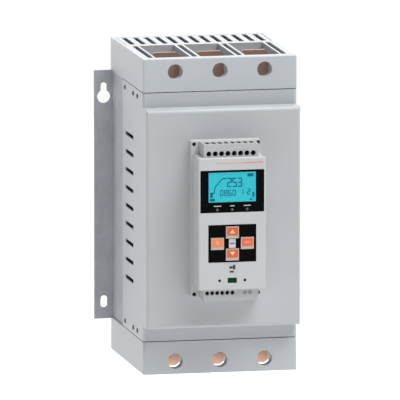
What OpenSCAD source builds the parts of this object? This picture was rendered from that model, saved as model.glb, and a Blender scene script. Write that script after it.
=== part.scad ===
// Three-phase soft starter for wall or panel mounting.
// Millimetres. X runs across the front, +Y runs back to the wall, +Z is up.
// The origin is under the middle of the whole part, at the foot of the lower cover.
// A depth named d is measured forward from the wall plane.

/* [Body] */
// Width of the covers
body_w = 155; // [152:1:170]
// Height over both terminal covers
body_h = 315; // [310:1:350]
// Depth of the terminal covers, from the wall
cover_d = 159; // [158:1:170]
// Height of each terminal cover
end_h = 32.9; // [32:0.1:38]
// Step of the front panel ahead of the terminal covers
panel_step = 18; // [12:1:24]
// Open seam between the main cover and each terminal cover
seam = 0.8; // [0.3:0.1:1]

/* [Chassis] */
// Depth of the folded chassis, from the wall
chassis_d = 58.5; // [57:0.5:62]
// Sheet thickness of the chassis
chassis_t = 1.5; // [1.2:0.1:2]
// How far the chassis sides stand inside the covers' sides
chassis_inset = 1.5; // [1.5:0.1:2.5]
// Outer radius of the chassis bends
chassis_r = 3; // [2.5:0.1:4]
// Reach of each fixing flange beyond the covers' side
flange_reach = 17.3; // [15:0.1:22]
// How far the flanges reach below the chassis
flange_over = 1.5; // [0:0.1:3]
// Distance of the fixings from the flange's outer edge
fix_in = 9.8; // [9:0.1:11]
// Distance of the keyholes' seats below the top of the chassis
fix_high = 15.6; // [12:0.1:24]
// Height of the lower fixing slots above the chassis foot
fix_low = 16; // [12:0.5:20]
// Entry diameter of a keyhole
key_entry = 13; // [11:0.5:13]
// Width of a keyhole's neck
key_neck = 6.2; // [5.5:0.1:7]
// Drop from a keyhole's seat to its entry
key_drop = 11; // [10:0.5:14]
// Width of a lower fixing slot
foot_slot_w = 6.5; // [5.5:0.1:7.5]
// Length of a lower fixing slot
foot_slot_l = 11.7; // [10:0.1:14]
// Lap of the heat sink behind the web at each side
web_lap = 7; // [5:0.5:8]

/* [Main cover] */
// Sheet thickness of the main cover
cover_t = 1.5; // [1.2:0.1:1.8]
// Radius of the cover's upright front edges
cover_r = 3; // [2.5:0.1:4]
// Height of the recessed band at each end of the front
band_h = 14.6; // [10:0.2:17]
// Radius of the ledges over and under the front panel
ledge_r = 4; // [2.5:0.1:5]
// Width of the cover's turned-in rear edges
return_w = 5; // [4:0.5:6]
// Number of vent slots in each side
vent_n = 9; // [7:1:10]
// Spacing of the side vent slots
vent_pitch = 18; // [16:0.1:19]
// Length of a side vent slot
vent_l = 39; // [30:1:42]
// Height of a side vent slot
vent_h = 4; // [2:0.1:5]
// Distance of the side vent slots' middle ahead of the chassis
vent_out = 33.5; // [30:0.1:40]
// Height of the side vent slots' middle above the body's middle
vent_up = 0.5; // [-4:0.5:4]
// Distance from a seam to the row of side screws
screw_row = 6.6; // [6:0.1:8]
// Shank diameter of a side screw
side_screw = 2.6; // [2.4:0.1:3]
// Head diameter of a side screw
side_head = 4.4; // [4:0.1:5]
// Head height of a side screw
side_head_h = 0.9; // [0.6:0.1:1.2]
// Distance of the first side screws from the back of the tongues
row_first = 9; // [8:0.5:12]
// Distance of the last side screws from the front of the tongues
row_last = 9.5; // [8:0.5:14]
// Distance between the last two side screws
row_pitch = 20.3; // [16:0.1:22]

/* [Terminal covers] */
// Wall thickness of the moulded covers
wall = 2.5; // [2:0.1:3]
// Radius of the upright front edges
end_r = 2; // [1.5:0.1:3]
// Radius of the outer rim
rim_r = 1.2; // [0.8:0.1:2]
// Distance of an outer phase from the body's side
phase_side = 32.5; // [32:0.5:34]
// Width of the rib between two wells
rib_w = 10; // [9:0.5:14]
// Distance of the wells from the grille
well_off = 8; // [6:0.5:10]
// Distance from the front face to the cable wells
well_front = 11; // [9:0.5:14]
// Wall thickness round a cable well
well_t = 2; // [1.6:0.1:2.4]
// Thickness of a cable well's floor
floor_t = 2; // [1.6:0.1:3]
// Diameter of a front access hole
access = 15.3; // [13:0.1:16]
// Distance from a cover's outer face to the access holes
access_in = 13.1; // [12:0.1:14]
// Wall thickness of the tube behind an access hole
tube_t = 2; // [1.5:0.1:2.4]
// Width of the cooling slits beside the wells
slit_w = 5; // [3:0.1:5.5]
// Distance of an outer slit from the wall of its well
slit_gap = 0.2; // [0:0.1:0.5]
// Depth of the tongue that reaches into the main cover
tongue_h = 14; // [12:0.5:18]
// Thickness of the tongue
tongue_t = 2.5; // [2:0.1:3]
// Distance of the tongues from the main cover's returns
tongue_off = 2; // [1:0.5:3]
// Distance of the tongues behind the fronts of the wells
tongue_in = 7; // [6:0.5:10]
// Number of slots in a vent grille
grille_n = 13; // [9:2:13]
// Distance of the first and last slot from the grille's ends
grille_edge = 7.1; // [6.5:0.1:9]
// Width of a grille slot
grille_slot = 5; // [2.5:0.1:5.5]
// Length of a grille slot
grille_l = 46.5; // [36:0.5:47]
// Distance of the grille's ends from the body's sides
grille_side = 4.1; // [4:0.1:6]
// Length of a vent grille, front to back
grille_d = 51; // [49:0.5:52]
// Distance of a vent grille from the wall
grille_back = 7; // [5:0.5:7]
// Open seam round a vent grille
grille_gap = 0.6; // [0.2:0.1:0.8]
// Thickness of a vent grille
grille_t = 1.5; // [1.2:0.1:1.8]
// Width of the ledge under a vent grille
grille_ledge = 2; // [1.5:0.1:2.5]

/* [Copper bars] */
// Width of a copper bar
bar_w = 28; // [20:0.5:30]
// Thickness of a copper bar
bar_t = 5; // [4:0.5:6]
// Cut off the corners at a bar's outer end
bar_trim = 3; // [1:0.5:4]
// Distance of a line bar's end from the cover's outer face
line_short = 1.1; // [0.1:0.1:3]
// Distance of a load bar's end from the cover's outer face
load_short = 0.2; // [0.1:0.1:3]
// Distance of a bar's back behind the middle of its well
bar_set = 3; // [0:0.5:8]
// Diameter of a terminal hole in a bar
stud_hole = 13; // [8.5:0.5:13.5]
// Bolt diameter at the power modules
bolt = 6; // [5:0.5:6]
// Head height of those bolts
bolt_head_h = 4; // [3:0.5:5]
// Width of a bolt's head
bolt_head = 11.5; // [10:0.5:12]
// Depth of a terminal's blind hole short of its foot
blind = 2; // [1.5:0.5:2.5]
// Diameter of a foot screw's head
foot_head = 9; // [8:0.5:9.5]
// Depth of a foot screw in the heat sink
foot_screw_in = 5; // [4:0.5:5]

/* [Power stage] */
// Width of a power module
stack_w = 34; // [30:1:36]
// Height of a power module's body, without its feet
stack_l = 92; // [90:1:94]
// Height of each foot beyond the body
stack_foot = 10; // [10:0.5:11]
// Depth of a power module
stack_d = 30; // [28:1:34]
// Thickness of a module's feet
foot_t = 9; // [8:0.5:11]
// Distance from a module's middle to its terminals
post_off = 36; // [35:0.5:36]
// Width of a module's terminal
post_w = 20; // [18:0.5:22]
// Height of a module's terminal
post_l = 18; // [17:0.5:19]
// Distance of the modules' middle below the top of the heat sink
stack_drop = 65.5; // [62:0.5:75]
// Gap between a relay and the power board
relay_gap = 15; // [12:1:20]
// Height of a bypass relay
relay_l = 52; // [48:1:53]
// Thickness of a relay's contact tabs
tab_t = 2; // [1.5:0.5:3]
// Width of a relay's contact tabs
tab_w = 16; // [14:1:18]
// Gap between two current sensors
sensor_gap = 5; // [4:0.5:7]
// Height of a current sensor
sensor_h = 14; // [10:1:18]
// Height of the current sensors above the chassis foot
sensor_up = 48; // [44:1:60]

/* [Cooling] */
// Gap between the heat sink and the chassis side
sink_side = 4.5; // [3.5:0.5:7]
// Gap between the fans and the fins
sink_gap = 5; // [4:0.5:12]
// Distance of the heat sink from the top of the chassis
sink_top = 6; // [6:0.5:10]
// Thickness of the heat sink's base
sink_base = 8; // [7:0.5:10]
// Number of fins
fin_n = 20; // [14:1:22]
// Thickness of a fin
fin_t = 1.8; // [1.5:0.1:2.2]
// Distance of the fin tips from the wall
fin_back = 4; // [3:0.5:8]
// Distance from the heat sink's ends to the web's window
sink_lap = 4; // [3:0.5:5]
// Side of a fan's frame
fan_s = 50; // [48:0.5:51]
// Height of a fan
fan_h = 20; // [16:1:20]
// Distance of a fan's middle from the body's middle
fan_x = 36; // [32:0.5:38]
// Side of the square of fan screws
fan_hole_pitch = 40; // [38.5:0.5:41]
// Diameter of a fan's hub
fan_hub = 24; // [20:0.5:26]
// Number of blades
blade_n = 7; // [5:1:9]
// Thickness of a blade
blade_t = 1.2; // [1:0.1:1.6]
// Width of a blade
blade_w = 13; // [10:0.5:14]
// Pitch of the blades in degrees
blade_pitch = 42; // [35:1:50]
// Shaft diameter of a fan
fan_shaft = 3; // [2:0.5:4]
// Diameter of the fan screws
fan_screw = 4; // [3:0.1:4.2]
// Diameter of a fan screw's head
fan_head = 7; // [6:0.1:7.5]
// Height of a fan screw's head
fan_head_h = 1.2; // [1:0.1:1.4]
// Radius of the fan frame's corners
fan_r = 3; // [2:0.1:4]
// Thickness of the fan frame at the middle of its sides
fan_wall = 1.5; // [1.2:0.1:2]
// Gap between the blades and the fan frame
blade_gap = 0.7; // [0.5:0.1:1]
// Height of the motor boss in the fan frame
motor_h = 5; // [4:0.5:6]
// Gap between the motor boss and the rotor
motor_gap = 0.5; // [0.4:0.1:0.8]
// Width of a strut
strut_w = 3; // [2:0.1:4]
// Height of a strut
strut_h = 2.5; // [2:0.1:3]
// Thickness of the fan plate
plate_t = 1.5; // [1:0.1:2]
// Height of the fan plate above the chassis foot
plate_up = 1.5; // [1.5:0.1:3]

/* [Circuit boards] */
// Thickness of a circuit board
pcb_t = 1.6; // [1.2:0.1:2]
// Distance of the power board's edge from the body's side
board_side = 5.5; // [5:0.5:8]
// Height of the power board
board_h = 198; // [190:1:204]
// Distance of the power board behind the covers' front
board_back = 19; // [17:0.5:20]
// Width of a standoff across its corners
standoff = 6; // [5:0.5:6]
// Distance of the standoffs from the board's side
standoff_edge = 5; // [4:0.5:6]
// Distance from the board's ends to the standoffs
standoff_in = 8; // [6:0.5:10]
// Diameter of the board screws
board_screw = 3; // [2.5:0.1:3.2]
// Depth of a board screw in its standoff
board_screw_in = 6; // [5:0.5:8]
// Diameter of a board screw's head
board_head = 5.6; // [5:0.1:6]
// Height of a board screw's head
board_head_h = 2; // [1.5:0.1:2.5]
// Width of the supply transformer's core
core_w = 42; // [38:1:44]
// Height of the core
core_h = 36; // [32:1:38]
// Depth of the core
core_d = 22; // [18:1:24]
// Distance of the core's middle from the board's side
core_in = 30; // [28:1:32]
// Width of the coil that stands ahead of the core
coil_w = 28; // [24:1:30]
// Height of the coil
coil_h = 24; // [20:1:28]
// How far the coil stands ahead of the core
coil_out = 6; // [4:0.5:6]
// Diameter of a smoothing capacitor
can = 16; // [14:0.5:18]
// Length of a smoothing capacitor
can_l = 26; // [22:1:28]
// Distance between capacitors
can_pitch = 20; // [19:0.5:21]
// Distance of the last capacitor from the board's side
can_in = 16; // [14:0.5:18]
// Distance of the transformer and the capacitors below the board's top
tall_in = 37; // [34:1:40]
// Width of the pin strip between the boards
link_w = 30; // [24:1:36]
// Height of the pin strip
link_h = 8; // [6:0.5:10]

/* [Control module] */
// Height of the module's middle above the body's middle
module_up = 1.5; // [-4:0.5:6]
// Width of the module
module_w = 70.4; // [68:0.2:72]
// Width of the module's front
fascia_w = 67.4; // [66:0.2:70]
// Height of the module
module_h = 155.4; // [154:0.2:160]
// Height of the front with the display
fascia_h = 131.3; // [130:0.1:133]
// Distance of the middle of the module's front below the module's middle
fascia_sink = 0.85; // [0:0.05:1]
// Distance from the front panel to the module's ears
ear_out = 11.5; // [9:0.5:14]
// Distance from the front panel to the terminal strips' front
strip_out = 35; // [33:0.5:36]
// Distance from the front panel to the module's front
fascia_out = 40; // [38:0.5:44]
// Radius of the module's front edges
fascia_r = 1.4; // [1:0.1:2]
// Wall thickness of the module
shell_t = 2.2; // [1.8:0.1:2.6]
// Width of the terminal strips
strip_w = 55; // [54.5:0.5:57]
// Distance between the left and right ear holes
ear_pitch_x = 64.4; // [64:0.1:65]
// Distance from the module's end to the ear holes
ear_in = 2.9; // [2.7:0.1:3.2]
// Diameter of an ear hole
ear_hole = 4; // [3.6:0.1:4.2]
// Diameter of a fixing screw in the ears
ear_screw = 2.6; // [2.2:0.1:2.8]
// Height of an ear screw's head above the panel
ear_seat = 3; // [2:0.5:4]
// Height of an ear screw's head
ear_head_h = 2.4; // [2:0.1:3]
// Depth of an ear screw behind the panel
ear_screw_in = 6; // [4:0.5:8]
// Distance of the window behind the module from the ends of its front
window_in = 6; // [5:0.5:8]
// Distance of the control board behind the inside of the front
board_gap = 9.2; // [8.5:0.1:10]
// Gap round the control board
board_clear = 1; // [0.5:0.1:2]
// Diameter of the posts that carry the control board
post = 5; // [4:0.5:6]
// Distance of the posts from the front's edges
post_in = 5.5; // [5.3:0.1:6]

/* [Terminal strips] */
// Number of upper terminals
upper_n = 8; // [6:1:8]
// Spacing of the upper terminals
upper_pitch = 6.35; // [6:0.05:6.4]
// Diameter of an upper screw hole
upper_hole = 5.2; // [4:0.1:5.4]
// Number of lower terminals in the main group
lower_n = 6; // [4:1:6]
// Spacing of the lower terminals
lower_pitch = 5.08; // [5:0.02:5.1]
// Distance of the first lower terminal from the middle
lower_first = 24.1; // [23:0.1:24.5]
// Distance from the middle to the lower pair of terminals
pair_x = 16.1; // [15.5:0.1:17]
// Diameter of a lower screw hole
lower_hole = 4; // [3:0.1:4.2]
// Distance of the upper row of holes above the module's front
hole_row = 3.4; // [2.8:0.1:4]
// Distance of the lower row of holes below the module's front
lower_hole_row = 3.8; // [3.5:0.1:6]
// Depth of the screw holes
hole_deep = 12; // [10:0.5:14]
// Length of a clamp screw
clamp_l = 7; // [6:0.5:8]
// Depth of the lower pair's screws below the strip's front
pair_in = 0.5; // [0.3:0.1:1]
// Width of a screw's driver slot
slot_w = 0.8; // [0.6:0.1:1]
// Depth of a screw's driver slot
slot_deep = 1; // [0.8:0.1:1.5]
// Width of a wire entry
entry_w = 4.2; // [3:0.1:4.4]
// Length of a wire entry
entry_l = 12; // [4:0.1:13]
// Distance of the wire entries ahead of the ears
entry_out = 13; // [10:0.2:15]

/* [Display and keys] */
// Width of the dark display lens
lens_w = 64; // [60:0.5:64.5]
// Height of the dark display lens
lens_h = 42; // [40:0.1:43]
// Height of the lens's middle above the module's middle
lens_up = 31.5; // [31:0.5:32]
// Thickness of the lens
lens_t = 1.2; // [0.8:0.1:1.4]
// Width of the screen
screen_w = 47.4; // [46:0.1:50]
// Height of the screen
screen_h = 29.6; // [28:0.1:31]
// Height of the screen's middle above the module's middle
screen_up = 35.6; // [35.2:0.1:36]
// Depth of the screen's face below the front
screen_in = 0.3; // [0.2:0.1:0.5]
// How far the screen's carrier is wider than the screen
carrier_w = 6; // [4:0.5:7]
// How far the screen's carrier is higher than the screen
carrier_h = 5; // [4:0.5:5]
// Depth of the screen's carrier
carrier_d = 6.4; // [5:0.1:7]
// Height of the status lights above the module's middle
light_up = 13.3; // [13:0.1:13.6]
// Spacing of the status lights
light_pitch = 15; // [12:0.5:17]
// Diameter of a status light
light = 2.6; // [2:0.1:3]
// Depth of a status light's face below the front
light_in = 0.1; // [0.05:0.05:0.3]
// Width of the keypad frame
pad_w = 48; // [46:0.2:50]
// Height of the keypad frame
pad_h = 37.3; // [36:0.1:38]
// Distance of the keypad's middle below the module's middle
pad_down = 20.4; // [20:0.1:21]
// Thickness of the keypad frame
pad_t = 0.8; // [0.5:0.1:1]
// Width of a key
key_w = 12.9; // [12:0.1:13.4]
// Height of a key
key_h = 11.8; // [11:0.1:12.6]
// Distance of the side keys from the keypad's middle
key_x = 15; // [14.9:0.1:15.5]
// Distance of the upper and lower keys from the keypad's middle
key_z = 11; // [10.6:0.1:11.4]
// How far the keys stand ahead of the module's front
key_proud = 1; // [0.8:0.1:1.6]
// Travel of a key
key_travel = 0.6; // [0.4:0.1:0.8]
// Width of a key's retaining flange
key_flange = 0.5; // [0.4:0.1:0.8]
// Thickness of a key's retaining flange
key_flange_t = 1.8; // [1.5:0.1:2]
// Diameter of a key's stem
key_stem = 4; // [3:0.5:5]
// Gap left over a switch when its key is down
key_gap = 0.1; // [0.05:0.05:0.2]
// Width of a push switch
switch_w = 6; // [5:0.5:7]
// Height of a push switch
switch_h = 2.4; // [2:0.1:3]
// Width of the optical port
port_w = 9.2; // [8:0.1:10]
// Height of the optical port
port_h = 5.2; // [4.5:0.1:6]
// Distance of the port below the module's middle
port_down = 57.3; // [56.5:0.1:57.5]
// Depth of the port's window below the front
port_in = 1.5; // [1:0.1:2]
// Distance between the two locating holes
locate_pitch = 25.4; // [24:0.2:27]
// Diameter of a locating hole
locate = 3; // [2.5:0.1:3.4]
// Depth of a locating hole
locate_deep = 7; // [5:0.5:8]
// Wall round and behind a locating hole
locate_t = 1.5; // [1.2:0.1:2]

/* [Fits] */
// Clearance between parts that are pushed together
fit = 0.2; // [0.15:0.05:0.25]
// Radial running clearance of a fan shaft
run = 0.05; // [0.03:0.01:0.08]
// Radial clearance of a bolt in its hole
bolt_gap = 0.2; // [0.15:0.05:0.3]

/* [Hidden] */
$fn = 48;
// Reach of a cut past the face that it opens
over = 1;
// Planes, as depths forward from the wall
panel_d = cover_d + panel_step;
ear_d = panel_d + ear_out;
strip_d = panel_d + strip_out;
fascia_d = panel_d + fascia_out;
total_d = fascia_d + key_proud;
wall_y = total_d / 2;
// Heights
mid_z0 = end_h;
mid_z1 = body_h - end_h;
mid_h = mid_z1 - mid_z0;
cover_z0 = mid_z0 + seam;
cover_z1 = mid_z1 - seam;
module_z = body_h / 2 + module_up;
front_z = module_z - fascia_sink;
sides = [-1, 1];
// Chassis and its fixings
chassis_w = body_w - 2 * chassis_inset;
fix_x = body_w / 2 + flange_reach - fix_in;
key_seat_z = mid_z1 - fix_high;
// Fans, and the heat sink over them
sink_d = chassis_d - chassis_t;
sink_w = chassis_w - 2 * chassis_t - 2 * sink_side;
plate_z = mid_z0 + plate_up;
fan_z = plate_z + plate_t;
fan_d = sink_d / 2;
fan_bore = fan_s / 2 - fan_wall;
blade_r = fan_bore - blade_gap;
sink_z0 = fan_z + fan_h + sink_gap;
sink_z1 = mid_z1 - sink_top;
// Phases and cable wells
phase_pitch = body_w / 2 - phase_side;
phases = [-phase_pitch, 0, phase_pitch];
well_w = phase_pitch - rib_w;
well_d0 = grille_back + grille_d + well_off;
well_d1 = cover_d - well_front;
well_mid = (well_d0 + well_d1) / 2;
slit_out = phase_pitch + well_w / 2 + well_t + slit_gap + slit_w / 2;
grille_w = body_w - 2 * grille_side;
grille_pitch = (grille_w - 2 * grille_edge) / (grille_n - 1);
// Tongues of the terminal covers and the side screws in them
tongue_d0 = chassis_d + cover_t + tongue_off;
tongue_d1 = well_d1 - tongue_in;
side_rows = [tongue_d0 + row_first, tongue_d1 - row_last - row_pitch, tongue_d1 - row_last];
// Power stage, with the bars near the middle of the wells
stack_z = sink_z1 - stack_drop;
stack_front = sink_d + stack_d;
bar_back = well_mid - bar_set;
bar_front = bar_back + bar_t;
board_d = cover_d - board_back;
board_front = board_d + pcb_t;
board_z = body_h / 2;
board_w = body_w - 2 * board_side;
standoff_x = board_w / 2 - standoff_edge;
standoff_z = board_h / 2 - standoff_in;
tall_z = board_z + board_h / 2 - tall_in;
relay_front = board_d - relay_gap;
sensor = phase_pitch - sensor_gap;
// Control module
fascia_inner = fascia_d - shell_t;
pcb_front = fascia_inner - board_gap;
pcb_back = pcb_front - pcb_t;
window_z = fascia_h / 2 - window_in;
key_back = fascia_inner - fit - key_flange_t;

// Depth forward of the wall, as a Y coordinate
function dy(d) = wall_y - d;

// A block between two X, two depths and two heights
module dbox(x0, x1, d0, d1, z0, z1)
  translate([x0, dy(d1), z0]) cube([x1 - x0, d1 - d0, z1 - z0]);

// A block that is centred across the body
module slab(w, d0, d1, z0, z1) dbox(-w / 2, w / 2, d0, d1, z0, z1);

// A rod along Y from one depth to another
module rod(x, z, d0, d1, dia, sides_n = $fn)
  translate([x, dy(d0), z]) rotate([90, 0, 0]) cylinder(d = dia, h = d1 - d0, $fn = sides_n);

// A rectangle whose two corners on the u0 side are round
module round_end(u0, u1, v0, v1, r) {
  translate([u0 + r, v0]) square([u1 - u0 - r, v1 - v0]);
  translate([u0, v0 + r]) square([u1 - u0, v1 - v0 - 2 * r]);
  for (v = [v0 + r, v1 - r]) translate([u0 + r, v]) circle(r);
}

// A centred rectangle with four round corners
module round_rect(w, h, r) {
  square([w - 2 * r, h], center = true);
  square([w, h - 2 * r], center = true);
  for (x = sides, y = sides) translate([x * (w / 2 - r), y * (h / 2 - r)]) circle(r);
}

// A slot with round ends, along the first axis
module stadium(l, w) {
  square([l - w, w], center = true);
  for (s = sides) translate([s * (l - w) / 2, 0]) circle(d = w);
}

// Plan of a box with round upright front edges
module plan(w, d0, d1, r)
  mirror([1, -1, 0]) round_end(dy(d1), dy(d0), -w / 2, w / 2, r);

// A side profile, drawn in Y and Z, drawn out across the body
module across(w) translate([-w / 2, 0, 0]) rotate([90, 0, 90]) linear_extrude(w) children();

// A front profile, drawn in X and Z, drawn out between two depths
module forward(d0, d1)
  translate([0, dy(d0), 0]) rotate([90, 0, 0]) linear_extrude(d1 - d0) children();

// Section of the folded chassis
module hat_section() {
  difference() {
    plan(chassis_w, 0, chassis_d, chassis_r);
    plan(chassis_w - 2 * chassis_t, -over, sink_d, chassis_r - chassis_t);
  }
  for (s = sides)
    translate([s * (chassis_w / 2 - chassis_t), dy(chassis_t)]) mirror([s < 0 ? 1 : 0, 0])
      square([chassis_inset + chassis_t + flange_reach, chassis_t]);
}

// Keyhole: a round entry under a narrow neck
module keyhole(x, seat_z) {
  rod(x, seat_z - key_drop, -over, chassis_t + over, key_entry);
  rod(x, seat_z, -over, chassis_t + over, key_neck);
  dbox(x - key_neck / 2, x + key_neck / 2, -over, chassis_t + over, seat_z - key_drop, seat_z);
}

// Folded steel chassis with the fixing flanges
module chassis() color("#7d8082") difference() {
  union() {
    translate([0, 0, mid_z0]) linear_extrude(mid_h) hat_section();
    for (s = sides) mirror([s < 0 ? 1 : 0, 0, 0])
      dbox(body_w / 2 + fit, body_w / 2 + flange_reach, 0, chassis_t, mid_z0 - flange_over,
        mid_z1);
  }
  slab(sink_w - 2 * web_lap, sink_d - over, chassis_d + over, sink_z0 + sink_lap, sink_z1 - sink_lap);
  for (s = sides) {
    keyhole(s * fix_x, key_seat_z);
    translate([s * fix_x, 0, mid_z0 + fix_low]) forward(-over, chassis_t + over)
      rotate(90) stadium(foot_slot_l, foot_slot_w);
  }
}

// Extruded heat sink with upright fins that face the wall
module heat_sink() color("#a9adb0") difference() {
  union() {
    slab(sink_w, sink_d - sink_base, sink_d, sink_z0, sink_z1);
    for (i = [0 : fin_n - 1]) {
      x = -sink_w / 2 + i * (sink_w - fin_t) / (fin_n - 1);
      dbox(x, x + fin_t, fin_back, sink_d - sink_base, sink_z0, sink_z1);
    }
  }
  for (x = phases, s = sides)
    rod(x, stack_z + s * (stack_l + stack_foot) / 2, sink_d - sink_base + blind, sink_d + over,
      bolt + bolt_gap);
}

// Places for the screws of one fan
module at_fan_holes(x)
  for (i = sides, j = sides)
    translate([x + i * fan_hole_pitch / 2, dy(fan_d) + j * fan_hole_pitch / 2, 0]) children();

// Sheet that carries both fans across the foot of the chassis
module fan_plate() color("#8b8e90") difference() {
  slab(chassis_w - 2 * chassis_t - fit, chassis_t, sink_d, plate_z, fan_z);
  for (s = sides) {
    translate([s * fan_x, dy(fan_d), plate_z - over]) cylinder(r = fan_bore, h = plate_t + 2 * over);
    at_fan_holes(s * fan_x) translate([0, 0, plate_z - over])
      cylinder(d = fan_screw + 2 * bolt_gap, h = plate_t + 2 * over);
  }
}

// Square fan frame with its struts and bearing
module fan_frame(x) color("#2a2b2d") difference() {
  translate([x, dy(fan_d), fan_z]) {
    difference() {
      linear_extrude(fan_h) round_rect(fan_s, fan_s, fan_r);
      translate([0, 0, -over]) cylinder(r = fan_bore, h = fan_h + 2 * over);
    }
    cylinder(d = fan_hub, h = motor_h);
    for (a = [0 : 120 : 240]) rotate(a) translate([0, -strut_w / 2, 0])
      cube([fan_bore + fan_wall / 2, strut_w, strut_h]);
  }
  translate([x, dy(fan_d), fan_z - over]) cylinder(d = fan_shaft + 2 * run, h = motor_h + 2 * over);
  at_fan_holes(x) translate([0, 0, fan_z - over])
    cylinder(d = fan_screw + 2 * bolt_gap, h = fan_h + 2 * over);
}

// Fan rotor: hub, shaft and pitched blades
module fan_rotor(x) color("#333538") translate([x, dy(fan_d), fan_z]) {
  hub_z = motor_h + motor_gap;
  hub_h = fan_h - hub_z - over;
  translate([0, 0, hub_z]) cylinder(d = fan_hub, h = hub_h);
  translate([0, 0, over]) cylinder(d = fan_shaft, h = hub_z);
  for (i = [0 : blade_n - 1]) rotate(i * 360 / blade_n) intersection() {
    translate([0, 0, hub_z]) cylinder(r = blade_r, h = hub_h);
    translate([fan_hub / 2 - over, 0, hub_z + hub_h / 2]) rotate([blade_pitch, 0, 0])
      translate([0, -blade_t / 2, -blade_w / 2]) cube([fan_bore, blade_t, blade_w]);
  }
}

module fan_frame_left() fan_frame(-fan_x);
module fan_frame_right() fan_frame(fan_x);
module fan_rotor_left() fan_rotor(-fan_x);
module fan_rotor_right() fan_rotor(fan_x);

// Screws that hold both fans, put in from below
module fan_screws() color("#5b5d60")
  for (s = sides) at_fan_holes(s * fan_x) translate([0, 0, plate_z]) {
    translate([0, 0, -fan_head_h]) cylinder(d = fan_head, h = fan_head_h);
    cylinder(d = fan_screw, h = plate_t + fan_h - over);
  }

// Outer form of the main cover, drawn in by an inset
module cover_form(inset, spill) {
  translate([0, 0, cover_z0 - spill]) linear_extrude(cover_z1 - cover_z0 + 2 * spill)
    plan(body_w - 2 * inset, chassis_d, cover_d - inset, cover_r - inset);
  intersection() {
    translate([0, 0, cover_z0]) linear_extrude(cover_z1 - cover_z0)
      plan(body_w - 2 * inset, chassis_d, panel_d - inset, cover_r - inset);
    across(body_w) round_end(dy(panel_d - inset), dy(chassis_d), cover_z0 + band_h + inset,
      cover_z1 - band_h - inset, ledge_r - inset);
  }
}

// Places of the side screws: both sides, both ends, three in a row
module at_side_screws()
  for (s = sides, z = [cover_z0 + screw_row, cover_z1 - screw_row], d = side_rows)
    translate([s * body_w / 2, dy(d), z]) rotate([0, s * 90, 0]) children();

// Places of the control module's fixings
module at_ears()
  for (i = sides, j = sides)
    translate([i * ear_pitch_x / 2, dy(panel_d), module_z + j * (module_h / 2 - ear_in)])
      rotate([90, 0, 0]) children();

// Folded front and sides, with the recessed bands and the side vents
module main_cover() color("#bfc2c4") difference() {
  union() {
    difference() {
      cover_form(0, 0);
      cover_form(cover_t, over);
    }
    for (s = sides) translate([s * (body_w / 2 - cover_t / 2), 0, cover_z0]) mirror([s > 0 ? 1 : 0, 0, 0])
      translate([0, dy(chassis_d + cover_t), 0])
        cube([cover_t / 2 + return_w, cover_t, cover_z1 - cover_z0]);
  }
  across(body_w + 2 * over) for (i = [0 : vent_n - 1])
    translate([dy(chassis_d + vent_out), body_h / 2 + vent_up + (i - (vent_n - 1) / 2) * vent_pitch])
      stadium(vent_l, vent_h);
  at_side_screws() translate([0, 0, -2 * cover_t]) cylinder(d = side_screw + 2 * bolt_gap, h = 3 * cover_t);
  at_ears() translate([0, 0, -2 * cover_t]) cylinder(d = ear_screw + 2 * bolt_gap, h = 3 * cover_t);
  slab(strip_w, panel_d - 2 * cover_t, panel_d + over, module_z - window_z, module_z + window_z);
}

// Outer form of a terminal cover, from the seam at 0 to its outer face
module end_form() intersection() {
  linear_extrude(end_h) plan(body_w, 0, cover_d, end_r);
  across(body_w + 2 * over) round_end(dy(cover_d), dy(0), -end_h, end_h, rim_r);
  forward(-over, cover_d + over) mirror([0, 1]) mirror([1, -1])
    round_end(-end_h, end_h, -body_w / 2, body_w / 2, rim_r);
}

// Moulded terminal cover, built from the seam outwards
module terminal_cover() difference() {
  union() {
    difference() {
      end_form();
      slab(body_w - 2 * wall, wall, cover_d - wall, -over, end_h - wall);
    }
    for (s = sides) translate([s * (body_w / 2 - cover_t - fit - tongue_t / 2), 0, 0])
      slab(tongue_t, tongue_d0, tongue_d1, -tongue_h, end_h / 2);
  }
  for (x = phases) {
    translate([x, 0, 0]) slab(well_w, well_d0, well_d1, end_h - 2 * wall, end_h + over);
    rod(x, end_h - access_in, cover_d - 2 * wall, cover_d + over, access);
  }
  for (x = [-slit_out, -phase_pitch / 2, phase_pitch / 2, slit_out])
    translate([x, dy(well_mid), end_h - 2 * wall]) linear_extrude(3 * wall)
      rotate(90) stadium(well_d1 - well_d0, slit_w);
  slab(grille_w + 2 * grille_gap, grille_back - grille_gap, grille_back + grille_d + grille_gap,
    end_h - grille_t, end_h + over);
  slab(grille_w - 2 * grille_ledge, grille_back + grille_ledge, grille_back + grille_d - grille_ledge,
    end_h - 2 * wall, end_h + over);
}

// Three insulating wells under a terminal cover, each with the tube of its access hole
module cable_wells() difference() {
  for (x = phases) {
    translate([x, 0, 0]) slab(well_w + 2 * well_t, well_d0 - well_t, well_d1 + well_t, 0, end_h - wall);
    rod(x, end_h - access_in, well_d1, cover_d - wall, access + 2 * tube_t);
  }
  for (x = phases) {
    translate([x, 0, 0]) slab(well_w, well_d0, well_d1, floor_t, end_h + over);
    translate([x, 0, 0]) slab(bar_w + 2 * fit, bar_back - fit, bar_front + fit, -over, floor_t + over);
    rod(x, end_h - access_in, well_d1 - over, cover_d + over, access);
  }
}

// Holes in the tongues for the side screws
module tongue_holes()
  at_side_screws() translate([0, 0, -4 * tongue_t]) cylinder(d = side_screw + 2 * bolt_gap, h = 5 * tongue_t);

module upper_terminal_cover() color("#cdd0d2") difference() {
  translate([0, 0, mid_z1]) terminal_cover();
  tongue_holes();
}

module lower_terminal_cover() color("#cdd0d2") difference() {
  translate([0, 0, mid_z0]) mirror([0, 0, 1]) terminal_cover();
  tongue_holes();
}

module upper_cable_wells() color("#c4c7c9") translate([0, 0, mid_z1]) cable_wells();
module lower_cable_wells() color("#c4c7c9") translate([0, 0, mid_z0]) mirror([0, 0, 1]) cable_wells();

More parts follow.
